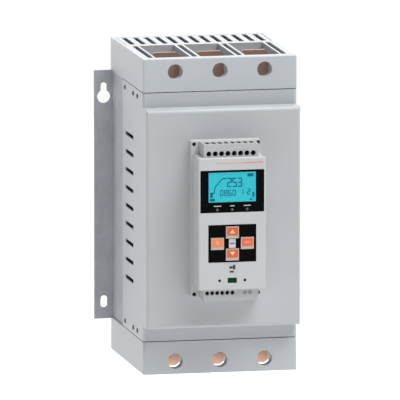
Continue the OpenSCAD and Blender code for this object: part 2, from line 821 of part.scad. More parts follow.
// Slotted grille that drops into a terminal cover
module vent_grille() difference() {
  slab(grille_w, grille_back, grille_back + grille_d, 0, grille_t);
  for (i = [0 : grille_n - 1])
    translate([(i - (grille_n - 1) / 2) * grille_pitch, dy(grille_back + grille_d / 2), -over])
      linear_extrude(grille_t + 2 * over) rotate(90) stadium(grille_l, grille_slot);
}

module upper_vent_grille() color("#c9ccce") translate([0, 0, body_h - grille_t]) vent_grille();
module lower_vent_grille() color("#c9ccce") vent_grille();

// Low-headed screws through the cover's sides into the tongues
module side_screws() color("#3c3e41") at_side_screws() {
  cylinder(d = side_head, h = side_head_h);
  translate([0, 0, -cover_t - tongue_t]) cylinder(d = side_screw, h = cover_t + tongue_t);
}

// Straight copper bar with a terminal hole and a bolt hole, its corners cut off at the outer end
module copper_bar(x, in_z, out_z, stud_z, bolt_z) color("#b9795a") difference() {
  half = bar_w / 2;
  trim_z = out_z - sign(out_z - in_z) * bar_trim;
  translate([x, 0, 0]) forward(bar_back, bar_front)
    polygon([[-half, in_z], [half, in_z], [half, trim_z], [half - bar_trim, out_z], [bar_trim - half, out_z],
      [-half, trim_z]]);
  rod(x, stud_z, bar_back - over, bar_front + over, stud_hole);
  rod(x, bolt_z, bar_back - over, bar_front + over, bolt + 2 * bolt_gap);
}

module line_bar(x)
  copper_bar(x, stack_z + post_off - post_l / 2, body_h - line_short, body_h - access_in, stack_z + post_off);
module load_bar(x)
  copper_bar(x, stack_z - post_off + post_l / 2, load_short, access_in, stack_z - post_off);

module line_bar_1() line_bar(phases[0]);
module line_bar_2() line_bar(phases[1]);
module line_bar_3() line_bar(phases[2]);
module load_bar_1() load_bar(phases[0]);
module load_bar_2() load_bar(phases[1]);
module load_bar_3() load_bar(phases[2]);

// Power semiconductor module with two feet and two terminals
module thyristor_module(x) color("#34363a") difference() {
  translate([x, 0, stack_z]) {
    slab(stack_w, sink_d, stack_front, -stack_l / 2, stack_l / 2);
    slab(stack_w, sink_d, sink_d + foot_t, -stack_l / 2 - stack_foot, stack_l / 2 + stack_foot);
    for (s = sides)
      slab(post_w, stack_front, bar_back, s * post_off - post_l / 2, s * post_off + post_l / 2);
  }
  for (s = sides) {
    rod(x, stack_z + s * post_off, stack_front + blind, bar_back + over, bolt + 2 * bolt_gap);
    rod(x, stack_z + s * (stack_l + stack_foot) / 2, sink_d - over, sink_d + foot_t + over,
      bolt + 2 * bolt_gap);
  }
}

module thyristor_module_1() thyristor_module(phases[0]);
module thyristor_module_2() thyristor_module(phases[1]);
module thyristor_module_3() thyristor_module(phases[2]);

// Screws that clamp the modules' feet to the heat sink
module thyristor_screws() color("#8f9194")
  for (x = phases, s = sides) {
    z = stack_z + s * (stack_l + stack_foot) / 2;
    rod(x, z, sink_d - foot_screw_in, sink_d + foot_t, bolt);
    rod(x, z, sink_d + foot_t, sink_d + foot_t + bolt_head_h, foot_head);
  }

// Bypass relay across a module's terminals, with its contact tabs
module bypass_relay(x) color("#4a4c50") difference() {
  translate([x, 0, stack_z]) {
    slab(stack_w, stack_front, relay_front, -relay_l / 2, relay_l / 2);
    slab(tab_w, bar_front, bar_front + tab_t, -post_off - post_l / 2, post_off + post_l / 2);
  }
  for (s = sides)
    rod(x, stack_z + s * post_off, bar_front - over, bar_front + tab_t + over, bolt + 2 * bolt_gap);
}

module bypass_relay_1() bypass_relay(phases[0]);
module bypass_relay_2() bypass_relay(phases[1]);
module bypass_relay_3() bypass_relay(phases[2]);

// Bolts through the tabs and bars into the modules' terminals
module bar_bolts() color("#9a9c9f")
  for (x = phases, s = sides) {
    z = stack_z + s * post_off;
    rod(x, z, stack_front + blind + over, bar_front + tab_t, bolt);
    rod(x, z, bar_front + tab_t, bar_front + tab_t + bolt_head_h, bolt_head, 6);
  }

// Ring-shaped current sensor that a load bar passes through
module current_sensor(x) color("#3a3d42") difference() {
  translate([x, dy(bar_back + bar_t / 2), mid_z0 + sensor_up]) cylinder(d = sensor, h = sensor_h);
  translate([x, 0, 0]) slab(bar_w + 2 * fit, bar_back - fit, bar_front + fit, mid_z0 + sensor_up - over,
    mid_z0 + sensor_up + sensor_h + over);
}

module current_sensor_1() current_sensor(phases[0]);
module current_sensor_2() current_sensor(phases[1]);
module current_sensor_3() current_sensor(phases[2]);

// Places of the standoffs under the power board
module at_standoffs()
  for (i = sides, j = sides)
    translate([i * standoff_x, 0, board_z + j * standoff_z]) children();

// Hexagonal standoffs between the chassis web and the power board
module board_standoffs() color("#b5a06a") difference() {
  at_standoffs() rod(0, 0, chassis_d, board_d, standoff, 6);
  at_standoffs() rod(0, 0, board_d - board_screw_in - over, board_d + over, board_screw + bolt_gap);
}

// Power and firing board
module power_board() color("#2f5a3c") difference() {
  slab(board_w, board_d, board_front, board_z - board_h / 2, board_z + board_h / 2);
  at_standoffs() rod(0, 0, board_d - over, board_front + over, board_screw + 2 * bolt_gap);
}

module board_screws() color("#9a9c9f") at_standoffs() {
  rod(0, 0, board_d - board_screw_in, board_front, board_screw);
  rod(0, 0, board_front, board_front + board_head_h, board_head);
}

// Supply transformer on the power board: laminated core round a coil
module supply_transformer() color("#5a4a3a") translate([core_in - board_w / 2, 0, tall_z]) {
  slab(core_w, board_front, board_front + core_d, -core_h / 2, core_h / 2);
  slab(coil_w, board_front, board_front + core_d + coil_out, -coil_h / 2, coil_h / 2);
}

// Smoothing capacitors on the power board
module board_capacitors() color("#2b3a63")
  for (i = [0 : 2]) rod(board_w / 2 - can_in - i * can_pitch, tall_z, board_front, board_front + can_l, can);

// Pin strip that joins the power board to the control board
module board_link() color("#2a2b2d")
  slab(link_w, board_front, pcb_back, module_z - link_h / 2, module_z + link_h / 2);

// Rear housing of the control module, with the four ears
module control_base() color("#d2d0cc") difference() {
  translate([0, 0, module_z]) difference() {
    forward(panel_d, ear_d) round_rect(module_w, module_h, fascia_r);
    slab(strip_w - 2 * shell_t, panel_d - over, ear_d - shell_t, -module_h / 2 + shell_t,
      module_h / 2 - shell_t);
    slab(strip_w - 2 * shell_t, panel_d - over, ear_d + over, -window_z, window_z);
  }
  at_ears() {
    translate([0, 0, -over]) cylinder(d = ear_screw + 2 * bolt_gap, h = ear_out);
    translate([0, 0, ear_seat]) cylinder(d = ear_hole, h = ear_out);
  }
}

// Screws at the bottom of the ear holes
module module_screws() color("#3c3e41") at_ears() {
  translate([0, 0, -ear_screw_in]) cylinder(d = ear_screw, h = ear_screw_in + ear_seat);
  translate([0, 0, ear_seat]) cylinder(d = ear_hole - 2 * bolt_gap, h = ear_head_h);
}

// A field cut into the fascia to a depth, in the module's own X and Z
module field(x, z, w, h, d0, d1)
  translate([x, 0, module_z + z]) slab(w, d0, d1, -h / 2, h / 2);

// Places of the four keys on the keypad, as X and Z on the module
key_places = [[0, key_z - pad_down], [0, -key_z - pad_down], [-key_x, -pad_down], [key_x, -pad_down]];
// Places of the posts that carry the control board
post_x = fascia_w / 2 - post_in;
post_z = fascia_h / 2 - post_in;

// Front housing of the control module
module control_front() color("#d9d7d4") difference() {
  union() {
    difference() {
      intersection() {
        translate([0, 0, front_z]) forward(ear_d, fascia_d) round_rect(fascia_w, fascia_h, fascia_r);
        across(fascia_w + 2 * over) round_end(dy(fascia_d), dy(ear_d), front_z - fascia_h / 2,
          front_z + fascia_h / 2, fascia_r);
        translate([0, 0, front_z - fascia_h / 2]) linear_extrude(fascia_h)
          plan(fascia_w, ear_d, fascia_d, fascia_r);
      }
      field(0, -fascia_sink, fascia_w - 2 * shell_t, fascia_h - 2 * shell_t, ear_d - over, fascia_inner);
    }
    for (i = sides, j = sides) rod(i * post_x, front_z + j * post_z, pcb_front, fascia_inner, post);
    for (s = sides)
      rod(s * locate_pitch / 2, module_z - port_down, fascia_d - locate_deep - locate_t, fascia_inner,
        locate + 2 * locate_t);
  }
  field(0, lens_up, lens_w + fit, lens_h + fit, fascia_d - lens_t, fascia_d + over);
  field(0, screen_up, screen_w + fit, screen_h + fit, fascia_inner - over, fascia_d + over);
  field(0, -pad_down, pad_w + fit, pad_h + fit, fascia_d - pad_t, fascia_d + over);
  for (p = key_places)
    field(p[0], p[1], key_w + 2 * fit, key_h + 2 * fit, fascia_inner - over, fascia_d + over);
  for (i = [-1 : 1])
    rod(i * light_pitch, module_z + light_up, fascia_inner - over, fascia_d + over, light + fit);
  field(0, -port_down, port_w + fit, port_h + fit, fascia_inner - over, fascia_d + over);
  for (s = sides)
    rod(s * locate_pitch / 2, module_z - port_down, fascia_d - locate_deep, fascia_d + over, locate);
}

// Terminal strip on one shoulder of the module, built for the upper one from the edge of the module's front
module strip_block(edge)
  slab(strip_w, ear_d, strip_d, edge, module_h / 2);

upper_xs = [for (i = [0 : upper_n - 1]) (i - (upper_n - 1) / 2) * upper_pitch];
lower_xs = [for (i = [0 : lower_n - 1]) -lower_first + i * lower_pitch];
pair_xs = [pair_x - lower_pitch / 2, pair_x + lower_pitch / 2];
upper_edge = fascia_h / 2 - fascia_sink;
lower_edge = fascia_h / 2 + fascia_sink;
upper_row = upper_edge + hole_row;
lower_row = -lower_edge - lower_hole_row;

module upper_terminal_strip() color("#d2d0cc") translate([0, 0, module_z]) difference() {
  strip_block(upper_edge);
  for (x = upper_xs) {
    rod(x, upper_row, strip_d - hole_deep, strip_d + over, upper_hole);
    translate([x, 0, 0]) slab(entry_w, ear_d + entry_out - entry_l / 2, ear_d + entry_out + entry_l / 2,
      upper_row, module_h / 2 + over);
  }
}

module lower_terminal_strip() color("#d2d0cc") translate([0, 0, module_z]) difference() {
  mirror([0, 0, 1]) strip_block(lower_edge);
  for (x = concat(lower_xs, pair_xs)) {
    rod(x, lower_row, strip_d - hole_deep, strip_d + over, lower_hole);
    translate([x, 0, 0]) slab(entry_w, ear_d + entry_out - entry_l / 2, ear_d + entry_out + entry_l / 2,
      -module_h / 2 - over, lower_row);
  }
}

// Clamp screw with a driver slot, from the bottom of its hole
module clamp_screw(x, z, dia, l) difference() {
  rod(x, z, strip_d - hole_deep, strip_d - hole_deep + l, dia);
  dbox(x - dia, x + dia, strip_d - hole_deep + l - slot_deep, strip_d - hole_deep + l + over, z - slot_w / 2,
    z + slot_w / 2);
}

module upper_clamp_screws() color("#8a8c8f") translate([0, 0, module_z])
  for (x = upper_xs) clamp_screw(x, upper_row, upper_hole - 2 * fit, clamp_l);

module lower_clamp_screws() color("#8a8c8f") translate([0, 0, module_z])
  for (x = lower_xs) clamp_screw(x, lower_row, lower_hole - 2 * fit, clamp_l);

module pair_clamp_screws() color("#a0a2a5") translate([0, 0, module_z])
  for (x = pair_xs) clamp_screw(x, lower_row, lower_hole - 2 * fit, hole_deep - pair_in);

// Dark display lens with the screen's window
module display_lens() color("#16181b") difference() {
  field(0, lens_up, lens_w, lens_h, fascia_d - lens_t, fascia_d);
  field(0, screen_up, screen_w + fit, screen_h + fit, fascia_d - lens_t - over, fascia_d + over);
  for (i = [-1 : 1])
    rod(i * light_pitch, module_z + light_up, fascia_d - lens_t - over, fascia_d + over, light + fit);
}

// Screen and its carrier on the control board
module lcd_screen() color("#46c8d8") {
  field(0, screen_up, screen_w, screen_h, pcb_front, fascia_d - screen_in);
  field(0, screen_up, screen_w + carrier_w, screen_h + carrier_h, pcb_front, pcb_front + carrier_d);
}

// Light guides of the three status lights
module status_lights() color("#5f7a52")
  for (i = [-1 : 1]) rod(i * light_pitch, module_z + light_up, pcb_front, fascia_d - light_in, light);

// Dark frame round the keys
module keypad_frame() color("#17191c") difference() {
  field(0, -pad_down, pad_w, pad_h, fascia_d - pad_t, fascia_d);
  for (p = key_places)
    field(p[0], p[1], key_w + 2 * fit, key_h + 2 * fit, fascia_d - pad_t - over, fascia_d + over);
}

// Key with a retaining flange and a stem
module key(p) color("#e0763a") {
  field(p[0], p[1], key_w, key_h, key_back, fascia_d + key_proud);
  field(p[0], p[1], key_w + 2 * fit + key_flange, key_h + 2 * fit + key_flange, key_back, fascia_inner - fit);
  rod(p[0], module_z + p[1], pcb_front + switch_h + key_travel + key_gap, key_back, key_stem);
}

module key_up() key(key_places[0]);
module key_down() key(key_places[1]);
module key_left() key(key_places[2]);
module key_right() key(key_places[3]);

// Green window of the optical port
module optical_port() color("#2d4a3a")
  field(0, -port_down, port_w, port_h, pcb_front, fascia_d - port_in);

// Control board behind the fascia
module control_board() color("#2f5a3c")
  field(0, -fascia_sink, fascia_w - 2 * shell_t - 2 * board_clear, fascia_h - 2 * shell_t - 2 * board_clear,
    pcb_back, pcb_front);

// Push switches under the keys
module key_switches() color("#3a3c3f")
  for (p = key_places) field(p[0], p[1], switch_w, switch_w, pcb_front, pcb_front + switch_h);

chassis();
heat_sink();
fan_plate();
fan_frame_left();
fan_frame_right();
fan_rotor_left();
fan_rotor_right();
fan_screws();
main_cover();
upper_terminal_cover();
lower_terminal_cover();
upper_cable_wells();
lower_cable_wells();
upper_vent_grille();
lower_vent_grille();
side_screws();
line_bar_1();
line_bar_2();
line_bar_3();
load_bar_1();
load_bar_2();
load_bar_3();
thyristor_module_1();
thyristor_module_2();
thyristor_module_3();
thyristor_screws();
bypass_relay_1();
bypass_relay_2();
bypass_relay_3();
current_sensor_1();
current_sensor_2();
current_sensor_3();
bar_bolts();
power_board();
board_standoffs();
board_screws();
supply_transformer();
board_capacitors();
board_link();
control_base();
control_front();
upper_terminal_strip();
lower_terminal_strip();
upper_clamp_screws();
lower_clamp_screws();
pair_clamp_screws();
module_screws();
display_lens();
lcd_screen();
status_lights();
keypad_frame();
key_up();
key_down();
key_left();
key_right();
optical_port();
control_board();
key_switches();
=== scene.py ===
# %% [markdown]
# A soft starter hangs in a control cabinet and brings a motor up to speed gently. The solids come from
# the CAD model, already in place and in metres, so this lesson only dresses them: finishes, printed
# fields and the picture on the screen. First the frame is loaded. What is added later may hardly make
# the object larger.

# %% Load the frame
import math

import bpy
from mathutils import Matrix, Vector


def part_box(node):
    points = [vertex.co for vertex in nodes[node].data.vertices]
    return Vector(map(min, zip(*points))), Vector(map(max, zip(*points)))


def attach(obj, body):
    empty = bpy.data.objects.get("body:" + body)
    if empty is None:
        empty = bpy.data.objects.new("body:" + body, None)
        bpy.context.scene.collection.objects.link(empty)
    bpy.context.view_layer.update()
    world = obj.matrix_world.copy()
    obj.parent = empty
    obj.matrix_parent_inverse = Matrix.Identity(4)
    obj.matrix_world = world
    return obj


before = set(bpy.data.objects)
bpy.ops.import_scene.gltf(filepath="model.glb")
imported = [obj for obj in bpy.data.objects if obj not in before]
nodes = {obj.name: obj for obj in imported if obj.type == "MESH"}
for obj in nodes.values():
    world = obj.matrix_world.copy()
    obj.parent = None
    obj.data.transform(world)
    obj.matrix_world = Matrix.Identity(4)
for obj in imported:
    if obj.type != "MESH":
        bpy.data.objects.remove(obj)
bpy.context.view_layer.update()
MM = 0.001

# %% [markdown]
# Places on the front are worked out from the CAD boxes, so they follow the model. The module's own
# frame has its zero in the middle of the module, with X to the right and Z up, in millimetres.

# %% Places taken from the frame
front_low, front_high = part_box("control_front")
base_low, base_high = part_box("control_base")
cover_low, cover_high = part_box("upper_terminal_cover")
lower_low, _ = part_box("lower_terminal_cover")
FASCIA_Y = front_low[1]
MODULE_X = (front_low[0] + front_high[0]) / 2
MODULE_Z = (base_low[2] + base_high[2]) / 2
COVER_FRONT_Y = cover_low[1]
MID_Z = (lower_low[2] + cover_high[2]) / 2
print("fascia plane at y =", round(FASCIA_Y / MM, 2), "mm")
print("module middle at z =", round(MODULE_Z / MM, 2), "mm")

# %% [markdown]
# The photograph was taken from far away with a long lens, so its edges stay parallel within a pixel. A
# camera some fourteen metres away with a 1300 mm lens gives the same look. Its aim is the middle of the
# picture, given as a shift from the middle of the terminal covers' front plane. The frame's width is
# measured a little behind that plane, which shares what is left of the perspective between the front
# and the back.

# %% Camera
AZIMUTH, ELEVATION = math.radians(-11.9), math.radians(9.0)
LENS_MM, SENSOR_MM = 1300.0, 36.0
VIEW_REACH = 100.0
FRAME_WIDTH = 0.3964
FRAME_BACK = 60.0 * MM
AIM_RIGHT, AIM_UP = -19.8 * MM, 15.1 * MM


def towards(azimuth, elevation):
    """Direction from the object to a place seen at these angles; azimuth 0 is straight in front."""
    level = math.cos(elevation)
    return Vector((math.sin(azimuth) * level, -math.cos(azimuth) * level, math.sin(elevation)))


back = towards(AZIMUTH, ELEVATION)
right = Vector((math.cos(AZIMUTH), math.sin(AZIMUTH), 0.0))
up = back.cross(right)
aim = Vector((0.0, COVER_FRONT_Y, MID_Z)) + right * AIM_RIGHT + up * AIM_UP - back * FRAME_BACK
camera_data = bpy.data.cameras.new("camera")
camera_data.lens = LENS_MM
camera_data.sensor_width = SENSOR_MM
camera_data.clip_end = VIEW_REACH
camera = bpy.data.objects.new("camera", camera_data)
camera.matrix_world = Matrix((right, up, back)).transposed().to_4x4()
camera.location = aim + back * (FRAME_WIDTH * LENS_MM / SENSOR_MM)
bpy.context.scene.collection.objects.link(camera)
bpy.context.scene.camera = camera
print("camera at", [round(v, 3) for v in camera.location])

# %% [markdown]
# Colours are written as sRGB hex values, the way a colour picker shows them. Blender's shaders want
# linear light, so one function converts them by the curve of the sRGB standard. Pattern scales are
# written as real sizes in millimetres, and a texture's scale is how many of those fit in a metre.

# %% Colour and scale helpers
SRGB_KNEE, SRGB_SLOPE = 0.04045, 12.92
SRGB_LIFT, SRGB_POWER = 0.055, 2.4
CHANNEL_MAX = 255
MID_GREY = "#bcbfc2"


def linear(hex_colour):
    """sRGB hex to linear RGBA."""
    shown = [channel / CHANNEL_MAX for channel in bytes.fromhex(hex_colour.lstrip("#"))]
    lit = [c / SRGB_SLOPE if c <= SRGB_KNEE else ((c + SRGB_LIFT) / (1 + SRGB_LIFT)) ** SRGB_POWER
           for c in shown]
    return (*lit, 1.0)


def per_metre(size_mm):
    """How many features of a size fit in a metre."""
    return 1.0 / (size_mm * MM)


print("mid grey in linear light:", [round(c, 3) for c in linear(MID_GREY)])

# %% [markdown]
# A material is a small tree of nodes. One function adds a node with its settings, its input values and
# its links, so that each material below reads as a short recipe. A recipe starts from the place of a
# point on the object and ends in the Principled shader. Blender numbers the sockets of its mix node,
# and the numbers for colours differ from those for plain values, so they are named here.

# %% Node helper
COLOUR_MIX, VALUE_MIX = {"data_type": "RGBA"}, {"data_type": "FLOAT"}
FACTOR = 0
COLOUR_A, COLOUR_B, COLOUR_OUT = 6, 7, 2
VALUE_A, VALUE_B, VALUE_OUT = 2, 3, 0


def add(tree, kind, props=None, values=None, links=None):
    """Add one node; links maps an input's name or number to an output socket."""
    node = tree.nodes.new(kind)
    for name, value in (props or {}).items():
        setattr(node, name, value)
    for name, value in (values or {}).items():
        node.inputs[name].default_value = value
    for name, socket in (links or {}).items():
        tree.links.new(socket, node.inputs[name])
    return node


def new_material(name):
    """An empty material, its tree, and the place of a point on the object in metres."""
    material = bpy.data.materials.new(name)
    material.use_nodes = True
    tree = material.node_tree
    tree.nodes.clear()
    return material, tree, add(tree, "ShaderNodeTexCoord").outputs["Object"]


def close(tree, values=None, links=None):
    """End a tree with the Principled shader and the material's output."""
    shader = add(tree, "ShaderNodeBsdfPrincipled", values=values, links=links)
    add(tree, "ShaderNodeOutputMaterial", links={"Surface": shader.outputs["BSDF"]})


def tones(shade, light):
    """The two ends of a colour mix."""
    return {COLOUR_A: linear(shade), COLOUR_B: linear(light)}


def span(low, high):
    """The two ends of a map range."""
    return {"To Min": low, "To Max": high}


print("material helpers ready")

# %% [markdown]
# Powder paint on folded sheet: the powder melts into a skin with a faint orange peel about 1.5 mm
# across, and a slow change of tone where the coat is thicker. The sheen is broad, because the skin is
# only half smooth. Two noise textures do this at their real sizes, without an image.

# %% Powder-coated sheet
COAT_CLOUD = {"Scale": per_metre(60.0), "Detail": 3.0}
PEEL = {"Scale": per_metre(1.5), "Detail": 2.0}
PEEL_BUMP = {"Strength": 0.12, "Distance": 0.03 * MM}
COAT_ROUGH = span(0.42, 0.52)


def powder_coat(name, shade, light):
    """Powder paint that drifts between two tones, under an orange peel."""
    material, tree, place = new_material(name)
    slow = add(tree, "ShaderNodeTexNoise", values=COAT_CLOUD, links={"Vector": place})
    peel = add(tree, "ShaderNodeTexNoise", values=PEEL, links={"Vector": place})
    tone = add(tree, "ShaderNodeMix", COLOUR_MIX, tones(shade, light), {FACTOR: slow.outputs["Fac"]})
    rough = add(tree, "ShaderNodeMapRange", values=COAT_ROUGH, links={"Value": slow.outputs["Fac"]})
    bump = add(tree, "ShaderNodeBump", values=PEEL_BUMP, links={"Height": peel.outputs["Fac"]})
    close(tree, links={"Base Color": tone.outputs[COLOUR_OUT], "Roughness": rough.outputs["Result"],
                       "Normal": bump.outputs["Normal"]})
    return material


painted_sheet = powder_coat("powder_coated_sheet", "#b1b5b8", "#b9bcbf")
print("made", painted_sheet.name)

# %% [markdown]
# Moulded plastics (ABS and its kin) take their skin from a spark-eroded steel mould: a fine even grit,
# under a millimetre across, drawn a little coarser here so that it shows. Flow in the mould leaves
# slow, faint bands of tone. Rubber and silicone are moulded in the same way, and a shrunk sleeve has a
# skin of the same kind, so they share the recipe.

# %% Moulded plastics
FLOW = {"Scale": per_metre(45.0), "Detail": 2.0}
GRIT_DETAIL = 3.0
GRIT_BUMP = {"Strength": 0.15, "Distance": 0.02 * MM}


def moulded(name, shade, light, grit_mm, rough):
    """A moulded plastic in two close tones; rough is its least and its greatest roughness."""
    material, tree, place = new_material(name)
    grit_size = {"Scale": per_metre(grit_mm), "Detail": GRIT_DETAIL}
    flow = add(tree, "ShaderNodeTexNoise", values=FLOW, links={"Vector": place})
    grit = add(tree, "ShaderNodeTexNoise", values=grit_size, links={"Vector": place})
    tone = add(tree, "ShaderNodeMix", COLOUR_MIX, tones(shade, light), {FACTOR: flow.outputs["Fac"]})
    sheen = add(tree, "ShaderNodeMapRange", values=span(*rough), links={"Value": grit.outputs["Fac"]})
    bump = add(tree, "ShaderNodeBump", values=GRIT_BUMP, links={"Height": grit.outputs["Fac"]})
    close(tree, links={"Base Color": tone.outputs[COLOUR_OUT], "Roughness": sheen.outputs["Result"],
                       "Normal": bump.outputs["Normal"]})
    return material


cover_plastic = moulded("moulded_grey_abs", "#b5b9bd", "#bcc0c3", grit_mm=0.8, rough=(0.45, 0.55))
module_plastic = moulded("moulded_warm_grey_abs", "#bcbdbf", "#c4c5c7", grit_mm=0.8, rough=(0.42, 0.52))
# The strips' grey is darker than the module's partly as painted shade: it stands in for the shade under
# the fascia's overhang.
strip_plastic_with_shade = moulded("grey_polyamide_with_painted_shade", "#b1b2b4", "#b9babc", grit_mm=0.8, rough=(0.45, 0.55))
dark_plastic = moulded("moulded_dark_pbt", "#26282b", "#2f3135", grit_mm=0.9, rough=(0.5, 0.6))
key_plastic = moulded("moulded_pale_key_silicone", "#b8a79f", "#c0b0a8", grit_mm=0.7, rough=(0.4, 0.5))
seal_rubber = moulded("moulded_black_rubber", "#0e0f10", "#151617", grit_mm=0.8, rough=(0.6, 0.75))
light_plastic = moulded("moulded_light_guide", "#4a4c4c", "#5c5e5e", grit_mm=0.6, rough=(0.3, 0.4))
capacitor_sleeve = moulded("shrunk_pvc_sleeve", "#1d2a52", "#26366a", grit_mm=1.5, rough=(0.3, 0.4))
print("moulded plastics ready")

# %% [markdown]
# Galvanised sheet goes dull in the air: a grey skin of zinc carbonate scatters most of the light, so
# little is left of the metal's mirror. Crystals of zinc a few millimetres across each lean their own
# way, which makes the tone slightly patchy, the rolling direction leaves fine upright streaks, and the
# skin itself grows in clouds some 35 mm across. Voronoi cells stand for the crystals, and a noise that
# is stretched upright for the streaks.

# %% Galvanised sheet
SPANGLE = {"Scale": per_metre(7.0)}
STREAK_STRETCH = {"Scale": (1.0, 1.0, 0.03)}
STREAK = {"Scale": per_metre(1.2), "Detail": 3.0}
SKIN_CLOUD = {"Scale": per_metre(35.0), "Detail": 3.0}
STREAK_SHARE, CLOUD_SHARE = {FACTOR: 0.6}, {FACTOR: 0.6}
STREAK_BUMP = {"Strength": 0.08, "Distance": 0.02 * MM}
ZINC_ROUGH = span(0.6, 0.78)
ZINC_BARE = {"Metallic": 0.05}


def zinc_sheet(name, shade, light):
    """Dull galvanised sheet: spangle and streaks, under clouds of grey skin."""
    material, tree, place = new_material(name)
    spangle = add(tree, "ShaderNodeTexVoronoi", values=SPANGLE, links={"Vector": place})
    grey = add(tree, "ShaderNodeRGBToBW", links={"Color": spangle.outputs["Color"]})
    stretch = add(tree, "ShaderNodeMapping", values=STREAK_STRETCH, links={"Vector": place})
    streak = add(tree, "ShaderNodeTexNoise", values=STREAK, links={"Vector": stretch.outputs["Vector"]})
    cloud = add(tree, "ShaderNodeTexNoise", values=SKIN_CLOUD, links={"Vector": place})
    grain = add(tree, "ShaderNodeMix", VALUE_MIX, STREAK_SHARE,
                {VALUE_A: grey.outputs["Val"], VALUE_B: streak.outputs["Fac"]})
    blend = add(tree, "ShaderNodeMix", VALUE_MIX, CLOUD_SHARE,
                {VALUE_A: grain.outputs[VALUE_OUT], VALUE_B: cloud.outputs["Fac"]})
    tone = add(tree, "ShaderNodeMix", COLOUR_MIX, tones(shade, light), {FACTOR: blend.outputs[VALUE_OUT]})
    rough = add(tree, "ShaderNodeMapRange", values=ZINC_ROUGH, links={"Value": blend.outputs[VALUE_OUT]})
    bump = add(tree, "ShaderNodeBump", values=STREAK_BUMP, links={"Height": streak.outputs["Fac"]})
    close(tree, ZINC_BARE, {"Base Color": tone.outputs[COLOUR_OUT], "Roughness": rough.outputs["Result"],
                            "Normal": bump.outputs["Normal"]})
    return material


zinc_steel = zinc_sheet("dull_galvanised_sheet", "#898c92", "#c3c6cc")
print("made", zinc_steel.name)

# %% [markdown]
# Copper bars are drawn and the heat sink is extruded, so they keep fine upright lines from their tools,
# and tarnish lies over these in patches. A stretched noise gives the lines and a second one the
# patches. Screws and the transformer's core are small, so the same recipe serves for them. The upper
# bars lie in open wells and get a darker copy of the copper, partly oxidation and partly painted shade
# for the dim wells: only half of their surface still acts as bare metal.

# %% Drawn metals
TARNISH_DETAIL = 4.0
LINE_STRETCH = {"Scale": (1.0, 1.0, 0.02)}
DRAW_LINE = {"Scale": per_metre(0.8), "Detail": 2.0}
LINE_BUMP = {"Strength": 0.1, "Distance": 0.02 * MM}


def drawn(name, shade, light, patch_mm, rough, bare=1.0):
    """A drawn or extruded metal; bare is the share that has not oxidised."""
    material, tree, place = new_material(name)
    patch_size = {"Scale": per_metre(patch_mm), "Detail": TARNISH_DETAIL}
    tarnish = add(tree, "ShaderNodeTexNoise", values=patch_size, links={"Vector": place})
    stretch = add(tree, "ShaderNodeMapping", values=LINE_STRETCH, links={"Vector": place})
    lines = add(tree, "ShaderNodeTexNoise", values=DRAW_LINE, links={"Vector": stretch.outputs["Vector"]})
    tone = add(tree, "ShaderNodeMix", COLOUR_MIX, tones(shade, light), {FACTOR: tarnish.outputs["Fac"]})
    sheen = add(tree, "ShaderNodeMapRange", values=span(*rough), links={"Value": lines.outputs["Fac"]})
    bump = add(tree, "ShaderNodeBump", values=LINE_BUMP, links={"Height": lines.outputs["Fac"]})
    close(tree, {"Metallic": bare},
          {"Base Color": tone.outputs[COLOUR_OUT], "Roughness": sheen.outputs["Result"],
           "Normal": bump.outputs["Normal"]})
    return material


copper = drawn("drawn_copper", "#deaa91", "#edc2ac", patch_mm=12.0, rough=(0.3, 0.45))
# The line bars' copy of the copper is darker partly from oxidation and partly as painted shade for the
# dim wells they lie in.
tarnished_and_shaded_copper = drawn("tarnished_copper_and_painted_shade", "#a07f70", "#b29081", patch_mm=9.0, rough=(0.5, 0.65), bare=0.5)
sink_aluminium = drawn("extruded_aluminium", "#a7abaf", "#bfc3c6", patch_mm=30.0, rough=(0.35, 0.5))
screw_steel = drawn("black_zinc_screw_steel", "#3c3e42", "#55585c", patch_mm=2.0, rough=(0.35, 0.5))
# This near-black steel is partly painted shade: on the module screws and the wire cages it stands in for
# the shade in the ear holes and the entries.
dark_steel_and_painted_shade = drawn("blackened_steel_and_painted_shade", "#131416", "#1e1f22", patch_mm=2.0, rough=(0.4, 0.55))
bright_steel = drawn("bright_zinc_screw_steel", "#8b8e92", "#a9acb0", patch_mm=2.0, rough=(0.3, 0.45))
core_steel = drawn("varnished_lamination_steel", "#3a332c", "#4f463c", patch_mm=4.0, rough=(0.4, 0.55))
print("drawn metals ready")

# %% [markdown]
# The display lens and the keypad frame are polished black acrylic, and the optical port is green:
# nearly mirror smooth, with the faintest change of gloss. Circuit boards are glass-epoxy laminate under
# a green solder mask, where the weave of the glass just shows, drawn as a fine checker.

# %% Acrylic and laminate
GLOSS_CLOUD = {"Scale": per_metre(20.0), "Detail": 2.0}
ACRYLIC_ROUGH = span(0.12, 0.2)
ACRYLIC_SHINE = {"IOR": 1.49, "Specular IOR Level": 0.04}
WEAVE_SCALE = per_metre(1.0)
MASK_ROUGH = {"Roughness": 0.35}


def polished_acrylic(name, shade, light):
    """Polished acrylic in two close tones."""
    material, tree, place = new_material(name)
    cloud = add(tree, "ShaderNodeTexNoise", values=GLOSS_CLOUD, links={"Vector": place})
    tone = add(tree, "ShaderNodeMix", COLOUR_MIX, tones(shade, light), {FACTOR: cloud.outputs["Fac"]})
    rough = add(tree, "ShaderNodeMapRange", values=ACRYLIC_ROUGH, links={"Value": cloud.outputs["Fac"]})
    close(tree, ACRYLIC_SHINE,
          {"Base Color": tone.outputs[COLOUR_OUT], "Roughness": rough.outputs["Result"]})
    return material


def board_mask(name, shade, light):
    """Solder mask over a glass weave in two close tones."""
    material, tree, place = new_material(name)
    weave_look = {"Scale": WEAVE_SCALE, "Color1": linear(shade), "Color2": linear(light)}
    weave = add(tree, "ShaderNodeTexChecker", values=weave_look, links={"Vector": place})
    close(tree, MASK_ROUGH, {"Base Color": weave.outputs["Color"]})
    return material


